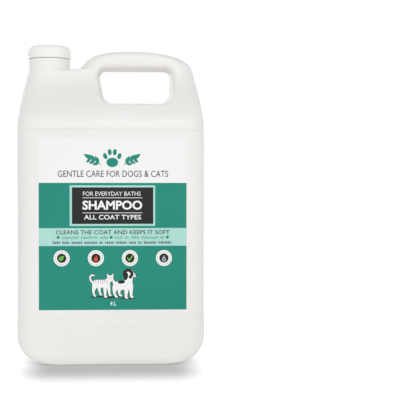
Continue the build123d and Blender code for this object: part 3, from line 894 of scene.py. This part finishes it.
DOG_LIMBS = [
    (5.6, 75.6, 4.0, 16.2, 76.4, 4.3), (16.2, 78.6, 3.6, 17.4, 84.6, 2.9), (2.6, 78.6, 1.2, 0.9, 83.4, 0.7),
    (3.6, 74.0, 2.5, 2.9, 69.2, 1.2), (2.9, 69.2, 1.2, 4.3, 65.6, 0.9), (4.3, 65.6, 0.9, 5.5, 65.3, 0.8),
    (8.0, 73.5, 2.3, 7.4, 69.6, 1.1), (7.4, 69.6, 1.1, 8.4, 66.6, 0.9), (8.4, 66.6, 0.9, 9.6, 66.3, 0.8),
    (14.4, 73.5, 2.2, 13.8, 64.6, 1.0), (13.8, 64.6, 1.0, 15.2, 64.2, 0.8),
    (18.4, 74.6, 2.2, 18.8, 65.3, 1.0), (18.8, 65.3, 1.0, 20.2, 64.9, 0.8),
    (19.0, 86.0, 2.1, 22.4, 85.0, 1.3),
]
CAT_LIMBS = [
    (-14.0, 77.4, 3.9, -4.6, 77.8, 3.5), (-4.6, 78.6, 2.7, -1.6, 81.4, 2.6),
    (-15.4, 75.4, 2.3, -16.6, 70.6, 1.1), (-16.6, 70.6, 1.1, -15.6, 66.4, 0.8),
    (-15.6, 66.4, 0.8, -14.5, 66.1, 0.7), (-11.2, 74.8, 2.0, -10.9, 70.8, 1.0),
    (-10.9, 70.8, 1.0, -9.9, 67.6, 0.8), (-9.9, 67.6, 0.8, -8.9, 67.3, 0.7),
    (-5.8, 75.2, 1.9, -5.5, 65.4, 0.9), (-5.5, 65.4, 0.9, -4.2, 65.0, 0.7),
    (-2.6, 76.2, 1.8, -1.3, 66.8, 0.8), (-1.3, 66.8, 0.8, -0.1, 66.5, 0.7),
    (-17.2, 78.6, 0.9, -19.3, 81.2, 0.8), (-19.3, 81.2, 0.8, -19.6, 84.0, 0.75),
    (-19.6, 84.0, 0.75, -17.9, 85.9, 0.7), (-17.9, 85.9, 0.7, -15.8, 85.1, 0.6),
    (-2.7, 84.3, 1.1, -3.5, 86.7, 0.3), (0.9, 84.4, 1.1, 2.0, 86.7, 0.3),
]
GROUND = [(3.0, 65.0, 9.0, 0.7), (15.6, 63.6, 7.0, 0.7), (-12.6, 65.3, 7.2, 0.6), (-3.2, 64.3, 4.6, 0.6)]
for x, z, wide, high in GROUND:
    print_shape("front", "black", 2, oval(x, z, wide, high, 2))
pet(2, DOG_LIMBS, [(17.6, 87.2, 3.6, 3.3, 0)])
for turn in np.linspace(-0.3, 1.25, 8) * math.pi:
    curl = oval(15.9 + 3.6 * math.cos(turn), 86.6 + 3.5 * math.sin(turn), 1.6, 1.6, 0, 16)
    print_shape("front", "black", 4, curl)
print_shape("front", "black", 4, oval(13.9, 84.4, 1.9, 3.6, -8))
print_shape("front", "black", 4, oval(23.2, 85.3, 0.7, 0.6))
print_shape("front", "black", 4, oval(19.6, 87.0, 0.4, 0.45, 0, 12))
print_shape("front", "black", 4, oval(9.6, 79.0, 3.4, 1.5, 4))
pet(5, CAT_LIMBS, [(-0.8, 82.6, 3.0, 2.7, 0)])
for step in np.linspace(0, 1, 7):
    x = -16.6 + 12.6 * step
    print_shape("front", "black", 7, limb((x, 80.6 + 0.2 * step), 0.22, (x + 0.9, 77.2), 0.06, 5))
for x, z, wide, high in ((-1.9, 83.0, 0.35, 0.45), (0.6, 83.0, 0.35, 0.45), (-0.6, 81.7, 0.4, 0.25)):
    print_shape("front", "black", 7, oval(x, z, wide, high, 0, 12))
print_words("front", "white", 2, "4 L", -0.9, 4.7, 57.0, 60.9, 0.02)

# %% [markdown]
# ## Printing the back label
# The back repeats the emblem and carries the small print. Nobody reads it at this size, so its lines are
# rows of letter-like marks, set in the same blocks as a real label's directions and contents.

# %% Back label
LEFT, RIGHT, _, _ = BACK_EDGES
emblem("back", "green", 1, -0.2, 188.4, 36.7, 13.0)
print_words("back", "grey", 1, "GENTLE CARE FOR DOGS & CATS", -43.4, 42.9, 181.0, 186.4, 0.004)
for level in (173.5, 169.4, 165.4, 161.6):
    small_print("back", "grey", 1, -62.6, 63.1 if level > 162 else 30.0, level, 2.3)
print_shape("back", "mint", 1, block(LEFT + 0.1, RIGHT - 0.1, 151.9, 158.4, 0.2))
print_shape("back", "green", 1, block(LEFT + 0.1, RIGHT - 0.1, 88.0, 151.8, 0.2))
print_words("back", "black", 2, "FOR DOGS AND CATS ONLY", -34.3, 37.1, 153.9, 156.2, 0.02)
for level, stop in ((144.1, 61.2), (138.7, 59.6), (133.4, 61.0), (127.6, -38.0)):
    small_print("back", "white", 2, -61.3, stop, level, 2.7, 1.2)
print_shape("back", "white", 2, block(-60.4, 60.6, 118.8, 120.0, 0.2))
for level, stop in ((111.4, 61.0), (107.8, 60.2), (104.1, 61.2), (100.5, 59.8), (96.8, 61.0), (93.2, -4.0)):
    small_print("back", "white", 2, -61.2, stop, level, 2.3)
for level, weight in ((81.2, 1.0), (78.6, 1.0), (75.9, 1.0), (73.4, 1.0), (70.9, 1.0), (67.9, 1.8)):
    small_print("back", "grey", 1, -50.0, -22.8, level, 1.9, weight)
print_shape("back", "black", 1, oval(-5.0, 73.2, 4.0, 4.0, 0, 48))
print_shape("back", "white", 2, oval(-5.0, 73.2, 3.4, 3.4, 0, 48))
print_shape("back", "black", 3, drop(-5.0, 73.0, 2.1))
for level in (77.4, 72.2):
    print_shape("back", "black", 1, block(12.2, 15.0, level - 1.5, level + 1.5, 0.5))
    print_shape("back", "white", 2, leaf(12.7, level - 0.9, 2.6, 0.7, 42))
bar_width = pen.choice([0.28, 0.42, 0.56, 0.84], 42)
bar_start = 23.6 + np.concatenate([[0], np.cumsum(bar_width + pen.choice([0.28, 0.42], 42))[:-1]]) * 0.71
bars = len(bar_start)
print_shape("back", "white", 1, block(22.4, 51.6, 68.2, 85.6, 0.3))
bar_end = bar_start + 0.62 * bar_width
print_boxes("back", "black", 2, bar_start, bar_end, np.full(bars, 71.6), np.full(bars, 84.8))
small_print("back", "black", 2, 24.0, 50.0, 69.9, 1.6)
for level in (65.9, 63.2):
    small_print("back", "grey", 1, 20.0, 52.3, level, 1.7)
print("bars end at", round(float(bar_start[-1]), 1))
print("shapes in each ink:", {key: len(plates) for key, plates in inks.items()})

# %% Films and inks become pieces
def label_piece(side, name, plates):
    """Joins plates, given in the label's own directions, into one mesh that rides the jug."""
    counts = np.cumsum([0] + [len(points) for points, _, _ in plates])
    points = np.concatenate([points for points, _, _ in plates])
    quads = np.concatenate([quads + start for (_, quads, _), start in zip(plates, counts)])
    triangles = np.concatenate([triangles + start for (_, _, triangles), start in zip(plates, counts)])
    piece = put_in_mesh(name, place_on_label(side, points), quads, triangles)
    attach(piece, "jug")
    return piece


films = {}
for side, edges in (("front", FRONT_EDGES), ("back", BACK_EDGES)):
    films[side] = label_piece(side, side + "_film", [flat_plate(block(*edges, 0.8), -FILM_THICK, 0.0)])
    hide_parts(side + "_label")
printed = {key: label_piece(key[0], "_".join(key) + "_ink", plates) for key, plates in inks.items()}
for piece in (*films.values(), *printed.values()):
    soften(piece, CRISP_PLATE)
    is_inside_out(piece)

# %% [markdown]
# ## Effects shared by the finishes
# Every moulded or printed face here has the same four things on it: a grain left by the mould, slow waves
# where the wall cooled unevenly, marks of handling, and dust that settles on what faces up. Three node
# groups with named inputs hold them, each built once. A group gives only heights and masks.

# %% Node helpers
def new_group(name, inputs, outputs):
    """A node group with float inputs, given with their values, and float outputs."""
    tree = bpy.data.node_groups.new(name, "ShaderNodeTree")
    for label, value in inputs.items():
        socket = tree.interface.new_socket(name=label, in_out="INPUT", socket_type="NodeSocketFloat")
        socket.default_value = value
    for label in outputs:
        tree.interface.new_socket(name=label, in_out="OUTPUT", socket_type="NodeSocketFloat")
    return tree, tree.nodes.new("NodeGroupInput"), tree.nodes.new("NodeGroupOutput")


def feed(tree, socket, source):
    """Links a node's output to a socket, or sets the socket to a plain value."""
    if isinstance(source, bpy.types.NodeSocket):
        tree.links.new(source, socket)
    else:
        socket.default_value = source


def maths(tree, operation, *values, clamp=False):
    """A Math node and its result."""
    node = tree.nodes.new("ShaderNodeMath")
    node.operation, node.use_clamp = operation, clamp
    for socket, value in zip(node.inputs, values):
        feed(tree, socket, value)
    return node.outputs[0]


def noise(tree, place, scale, detail=2.0, roughness=0.5):
    """A Noise Texture's value over the place given."""
    node = tree.nodes.new("ShaderNodeTexNoise")
    tree.links.new(place, node.inputs["Vector"])
    feed(tree, node.inputs["Scale"], scale)
    feed(tree, node.inputs["Detail"], detail)
    feed(tree, node.inputs["Roughness"], roughness)
    return node.outputs["Fac"]


def between(tree, value, low, high, to_low=0.0, to_high=1.0):
    """Maps a value from one range to another, smoothly and clamped."""
    node = tree.nodes.new("ShaderNodeMapRange")
    node.interpolation_type = "SMOOTHSTEP"
    for socket, source in zip(node.inputs, (value, low, high, to_low, to_high)):
        feed(tree, socket, source)
    return node.outputs["Result"]


def stretched(tree, place, scale, turn=0.0):
    """The place scaled along each axis and turned about z, so that a pattern on it is drawn out."""
    node = tree.nodes.new("ShaderNodeMapping")
    node.inputs["Scale"].default_value = scale
    node.inputs["Rotation"].default_value = (turn, turn, turn)
    tree.links.new(place, node.inputs["Vector"])
    return node.outputs["Vector"]


# %% Mould grain and slow waves
def build_grain():
    """Height of the moulded face: fine grain, plus broad waves weighted against it."""
    tree, given, result = new_group(
        "moulded face", {"Grain scale": 1400.0, "Wave scale": 16.0, "Wave share": 0.6}, ["Height"]
    )
    place = tree.nodes.new("ShaderNodeTexCoord").outputs["Object"]
    fine = noise(tree, place, given.outputs["Grain scale"], 3.0, 0.6)
    broad = noise(tree, place, given.outputs["Wave scale"], 1.0, 0.4)
    mixed = maths(tree, "ADD", maths(tree, "MULTIPLY", broad, given.outputs["Wave share"]),
                  maths(tree, "MULTIPLY", fine, maths(tree, "SUBTRACT", 1.0, given.outputs["Wave share"])))
    tree.links.new(mixed, result.inputs["Height"])
    return tree


# %% Marks of handling
def build_marks():
    """Smears where hands and cartons have rubbed, and fine scratches in two directions."""
    tree, given, result = new_group(
        "handling marks", {"Smear scale": 28.0, "Scratch scale": 60.0}, ["Smears", "Scratches"]
    )
    place = tree.nodes.new("ShaderNodeTexCoord").outputs["Object"]
    smear = between(tree, noise(tree, place, given.outputs["Smear scale"], 4.0, 0.65), 0.48, 0.7)
    fineness = given.outputs["Scratch scale"]
    first = noise(tree, stretched(tree, place, (1.0, 1.0, 16.0), 0.5), fineness, 2.0)
    second = noise(tree, stretched(tree, place, (14.0, 14.0, 1.0), -0.35), fineness, 2.0)
    lines = maths(tree, "MAXIMUM", between(tree, first, 0.7, 0.76), between(tree, second, 0.7, 0.76))
    tree.links.new(smear, result.inputs["Smears"])
    tree.links.new(maths(tree, "MULTIPLY", lines, smear), result.inputs["Scratches"])
    return tree


# %% Settled dust and drifting tint
def build_dust():
    """Dust lies where the surface faces up, in patches; Tint is a slow drift in the colour."""
    tree, given, result = new_group(
        "dust and tint", {"Patch scale": 90.0, "Tint scale": 9.0}, ["Dust", "Tint"]
    )
    source = tree.nodes.new("ShaderNodeTexCoord")
    split = tree.nodes.new("ShaderNodeSeparateXYZ")
    tree.links.new(source.outputs["Normal"], split.inputs["Vector"])
    level = between(tree, split.outputs["Z"], 0.55, 0.95)
    specks = noise(tree, source.outputs["Object"], given.outputs["Patch scale"], 4.0, 0.6)
    patches = between(tree, specks, 0.45, 0.65)
    tree.links.new(maths(tree, "MULTIPLY", level, patches), result.inputs["Dust"])
    tint = between(tree, noise(tree, source.outputs["Object"], given.outputs["Tint scale"], 2.0), 0.3, 0.7)
    tree.links.new(tint, result.inputs["Tint"])
    return tree


GRAIN, MARKS, DUST = build_grain(), build_marks(), build_dust()
print("node groups:", [tree.name for tree in (GRAIN, MARKS, DUST)])

# %% [markdown]
# ## Finishes
# Colours are written as they are seen on a screen, from 0 to 255, and turned into the linear values that
# a renderer adds up. Each finish starts from the Principled shader, sets its even values on the shader
# itself, and takes only its colour, roughness and normal from nodes.

# %% One way to make a finish
def seen(red, green, blue):
    """A colour as seen, 0 to 255, as linear light with full opacity."""
    value = np.array([red, green, blue]) / 255
    linear = np.where(value <= 0.04045, value / 12.92, ((value + 0.055) / 1.055) ** 2.4)
    return (*linear.tolist(), 1.0)


def placed(tree, group, **values):
    """A node group in a material, with this material's own values."""
    node = tree.nodes.new("ShaderNodeGroup")
    node.node_tree = group
    for label, value in values.items():
        node.inputs[label.replace("_", " ")].default_value = value
    return node


def blend_colour(tree, share, first, second):
    """A colour between two others."""
    node = tree.nodes.new("ShaderNodeMix")
    node.data_type = "RGBA"
    feed(tree, node.inputs["Factor"], share)
    feed(tree, node.inputs["A"], first)
    feed(tree, node.inputs["B"], second)
    return node.outputs["Result"]


RUBBED_BARE, DUST_COLOUR, DUST_ROUGHNESS = seen(150, 146, 140), seen(214, 209, 200), 0.15


def finish(name, colour, drifted, roughness, grain, bump, rubbed=0.12, dusty=0.12, scratched=0.35):
    """A material: a colour that drifts to another, rubbed and dusty in places, with a moulded grain.

    grain holds the grain group's three values, and bump is the relief in millimetres.
    """
    material = bpy.data.materials.new(name)
    material.use_nodes = True
    tree = material.node_tree
    shader = tree.nodes["Principled BSDF"]
    dust = placed(tree, DUST)
    marks = placed(tree, MARKS)
    base = blend_colour(tree, dust.outputs["Tint"], colour, drifted)
    bare = blend_colour(tree, 0.5, base, RUBBED_BARE)
    scuffed = blend_colour(tree, maths(tree, "MULTIPLY", marks.outputs["Scratches"], scratched), base, bare)
    whole = blend_colour(tree, maths(tree, "MULTIPLY", dust.outputs["Dust"], dusty), scuffed, DUST_COLOUR)
    tree.links.new(whole, shader.inputs["Base Color"])
    rough = maths(tree, "ADD", maths(tree, "MULTIPLY", marks.outputs["Smears"], rubbed), roughness)
    settled = maths(tree, "MULTIPLY", dust.outputs["Dust"], DUST_ROUGHNESS)
    rough = maths(tree, "ADD", rough, settled, clamp=True)
    tree.links.new(rough, shader.inputs["Roughness"])
    face = placed(tree, GRAIN, Grain_scale=grain[0], Wave_scale=grain[1], Wave_share=grain[2])
    relief = tree.nodes.new("ShaderNodeBump")
    relief.inputs["Distance"].default_value = bump * MM
    tree.links.new(face.outputs["Height"], relief.inputs["Height"])
    tree.links.new(relief.outputs["Normal"], shader.inputs["Normal"])
    return material, shader


def wear(piece, material):
    """Gives a piece its material."""
    piece.data.materials.clear()
    piece.data.materials.append(material)


# %% [markdown]
# ## The jug's plastic, the cap's plastic and the foam
# The jug is natural white polyethylene: milky, slightly see-into, with a satin face that waves gently. A
# little scattering below the surface gives its soft edges. The cap is polypropylene, cooler and a touch
# glossier, with a finer grain. The foam is matt, with open cells.

# %% Plastics and foam
milky, shader = finish(
    "milky_polyethylene", seen(245, 243, 240), seen(241, 239, 236), 0.36, (1500.0, 14.0, 0.85), 0.35
)
shader.inputs["Subsurface Weight"].default_value = 0.12
shader.inputs["Subsurface Radius"].default_value = (1.0, 0.9, 0.8)
shader.inputs["Subsurface Scale"].default_value = 0.004
shader.inputs["IOR"].default_value = 1.54
wear(jug, milky)
moulded, shader = finish(
    "cap_polypropylene", seen(244, 244, 240), seen(240, 240, 236), 0.34, (2200.0, 30.0, 0.4), 0.08
)
shader.inputs["IOR"].default_value = 1.49
wear(cap, moulded)
foam, shader = finish(
    "closed_cell_foam", seen(226, 224, 216), seen(214, 211, 201), 0.75, (2600.0, 120.0, 0.3), 0.3
)
shader.inputs["IOR"].default_value = 1.4
wear(liner, foam)

# %% [markdown]
# ## Film and inks
# The film is smooth and a little glossy. The inks share its relief but reflect much less, because a full
# reflection of a white room would lay a pale haze over the dark colours.

# %% Printed colours
PRINT_GRAIN, PRINT_RELIEF = (900.0, 22.0, 0.7), 0.05
PRINT_WEAR = {"rubbed": 0.08, "dusty": 0.1, "scratched": 0.2}
PRINT_IOR, INK_REFLECTION = 1.5, 0.12
INK_COLOURS = {
    "green": (seen(43, 144, 126), seen(40, 138, 120)),
    "mint": (seen(178, 224, 215), seen(173, 219, 210)),
    "black": (seen(47, 47, 48), seen(42, 42, 44)),
    "white": (seen(247, 247, 245), seen(242, 242, 240)),
    "grey": (seen(74, 78, 78), seen(66, 70, 70)),
    "leaf": (seen(120, 196, 84), seen(104, 182, 72)),
    "flame": (seen(222, 84, 52), seen(206, 70, 44)),
    "silver": (seen(168, 172, 172), seen(150, 156, 158)),
    "water": (seen(70, 152, 190), seen(58, 138, 178)),
}
film_finish, shader = finish(
    "label_film_white", seen(245, 245, 245), seen(242, 242, 242), 0.42,
    PRINT_GRAIN, PRINT_RELIEF, **PRINT_WEAR,
)
shader.inputs["IOR"].default_value = PRINT_IOR
for piece in films.values():
    wear(piece, film_finish)
for ink, (colour, drifted) in INK_COLOURS.items():
    ink_finish, shader = finish("ink_" + ink, colour, drifted, 0.44, PRINT_GRAIN, PRINT_RELIEF, **PRINT_WEAR)
    shader.inputs["IOR"].default_value = PRINT_IOR
    shader.inputs["Specular IOR Level"].default_value = INK_REFLECTION
    for (_, name), piece in printed.items():
        if name == ink:
            wear(piece, ink_finish)
print("finishes:", len(bpy.data.materials))

# %% [markdown]
# ## A pale studio
# The jug stands on a plain white floor between broad soft lights: the strongest in front and to the right, a
# weak one in front and to the left, and one behind. Lights alone would turn the floor grey or the jug too
# bright, so the floor glows though it is no lamp: brightly where the camera sees it, less as light on the
# jug.
# Close to the base the glow that the camera sees fades out, which paints a soft shadow there.

# %% Floor
FLOOR_CELLS, FLOOR_THICK = 8, 10.0


def sweep(half_width, near, far, floor_z):
    """A flat floor as a grid, closed below by a second sheet."""
    side = FLOOR_CELLS + 1
    sheet = side * side
    x, y = np.meshgrid(np.linspace(-half_width, half_width, side), np.linspace(near, far, side))
    levels = (floor_z - FLOOR_THICK, floor_z)
    points = [np.stack([x, y, np.full_like(x, level)], axis=-1).reshape(-1, 3) for level in levels]
    cells = np.arange(FLOOR_CELLS)
    here = (cells[:, None] * side + cells).ravel()
    low = np.stack([here, here + 1, here + side + 1, here + side], axis=-1)
    last = sheet - 1
    edge = np.concatenate([
        cells, cells * side + FLOOR_CELLS, last - cells, last - FLOOR_CELLS - cells * side
    ])
    around = np.stack([edge, np.roll(edge, -1), np.roll(edge, -1) + sheet, edge + sheet], axis=-1)
    quads = np.concatenate([low[:, ::-1], low + sheet, around])
    return put_in_mesh("floor", np.concatenate(points), quads, NO_TRIANGLES)


FLOOR_REACH, FLOOR_LEVEL = 60000.0, -0.1
floor = sweep(FLOOR_REACH, -FLOOR_REACH, FLOOR_REACH, FLOOR_LEVEL)
floor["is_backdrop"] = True
paper, shader = finish(
    "studio_paper", seen(203, 203, 203), seen(201, 201, 201), 0.9, (300.0, 4.0, 0.3), 0.05,
    rubbed=0.0, dusty=0.0, scratched=0.0,
)

# %% The floor's glow and its painted shadow
SHADE_HALF_WIDTH, SHADE_HALF_DEPTH, SHADE_FORWARD = 0.055, 0.02, 0.045
SIDE_FADE, FADE_REACH = 2.2, 0.1
GLOW_NEAR, GLOW_FAR, GLOW_AS_LIGHT = 0.04, 0.74, 0.36
tree = paper.node_tree
spot = tree.nodes.new("ShaderNodeSeparateXYZ")
tree.links.new(tree.nodes.new("ShaderNodeTexCoord").outputs["Object"], spot.inputs["Vector"])
sideways = maths(tree, "ABSOLUTE", spot.outputs["X"])
lengthways = maths(tree, "ABSOLUTE", maths(tree, "ADD", spot.outputs["Y"], SHADE_FORWARD))
beside = maths(tree, "SUBTRACT", sideways, SHADE_HALF_WIDTH, clamp=True)
before = maths(tree, "SUBTRACT", lengthways, SHADE_HALF_DEPTH, clamp=True)
beside = maths(tree, "MULTIPLY", beside, SIDE_FADE)
squares = maths(tree, "ADD", maths(tree, "POWER", beside, 2.0), maths(tree, "POWER", before, 2.0))
away = maths(tree, "SQRT", squares)
# Painted shadow: the glow that the camera sees falls from GLOW_FAR to GLOW_NEAR close to the jug's base.
glow_with_painted_shadow = between(tree, away, 0.0, FADE_REACH, GLOW_NEAR, GLOW_FAR)
seen_directly = tree.nodes.new("ShaderNodeLightPath").outputs["Is Camera Ray"]
shown = between(tree, seen_directly, 0.0, 1.0, GLOW_AS_LIGHT, glow_with_painted_shadow)
tree.links.new(blend_colour(tree, shown, (0, 0, 0, 1), (1, 1, 1, 1)), shader.inputs["Emission Color"])
shader.inputs["Emission Strength"].default_value = 1.0
shader.inputs["Specular IOR Level"].default_value = 0.0
wear(floor, paper)


# %% Lights and world
def soft_light(name, place, target, size, watts):
    """A square area light at a place, turned towards a target, both in metres."""
    lamp = bpy.data.lights.new(name, "AREA")
    lamp.size, lamp.energy = size, watts
    light = bpy.data.objects.new(name, lamp)
    bpy.context.scene.collection.objects.link(light)
    away = np.array(place) - np.array(target)
    flat = math.hypot(away[0], away[1])
    light.location = place
    light.rotation_euler = (math.atan2(flat, away[2]), 0, math.atan2(away[1], away[0]) + math.pi / 2)
    return light


middle = [(low + high) / 2 for low, high in zip(cad_low, cad_high)]
soft_light("key", (0.4, -1.9, 1.2), middle, 1.3, 10.5)
soft_light("fill", (-0.9, -2.0, 0.6), middle, 1.2, 2.5)
soft_light("back", (-0.5, 1.9, 0.5), middle, 1.4, 5.0)

HORIZON, ZENITH = 0.82, 0.56
world = bpy.data.worlds.new("studio")
world.use_nodes = True
bpy.context.scene.world = world
tree = world.node_tree
sky = tree.nodes["Background"]
sky.inputs["Color"].default_value = (1.0, 1.0, 1.0, 1.0)
aim = tree.nodes.new("ShaderNodeSeparateXYZ")
tree.links.new(tree.nodes.new("ShaderNodeTexCoord").outputs["Generated"], aim.inputs["Vector"])
level = between(tree, aim.outputs["Z"], 0.1, 0.95, HORIZON, ZENITH)
direct = tree.nodes.new("ShaderNodeLightPath").outputs["Is Camera Ray"]
tree.links.new(between(tree, direct, 0.0, 1.0, level, 1.0), sky.inputs["Strength"])
bpy.context.scene.view_settings.view_transform = "Standard"

# %% [markdown]
# ## The camera
# It stands about a metre in front, a little above half the jug's height, and looks almost level. The jug is
# left of the middle of the picture. Turning the camera aside does part of that and shifting its picture
# does the rest, because turning alone would put the jug's level edges visibly out of level.

# %% Camera
DISTANCE, EYE_HEIGHT, LENS = 1.03, 0.165, 90.8
LOOK_DOWN, LOOK_ASIDE, SHIFT = 0.98, 3.02, 0.1
lens = bpy.data.cameras.new("camera")
lens.lens, lens.sensor_width, lens.shift_x = LENS, 36.0, SHIFT
camera = bpy.data.objects.new("camera", lens)
bpy.context.scene.collection.objects.link(camera)
camera.location = (0.0, -DISTANCE, EYE_HEIGHT)
camera.rotation_euler = (math.radians(90 - LOOK_DOWN), 0, math.radians(-LOOK_ASIDE))
bpy.context.scene.camera = camera

# %% [markdown]
# ## The size of what was made
# The looks must not change the design's size, so both boxes are written down side by side.

# %% Sizes
bpy.context.view_layer.update()
low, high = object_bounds()
print("visual box", [round(v, 4) for v in low], [round(v, 4) for v in high])
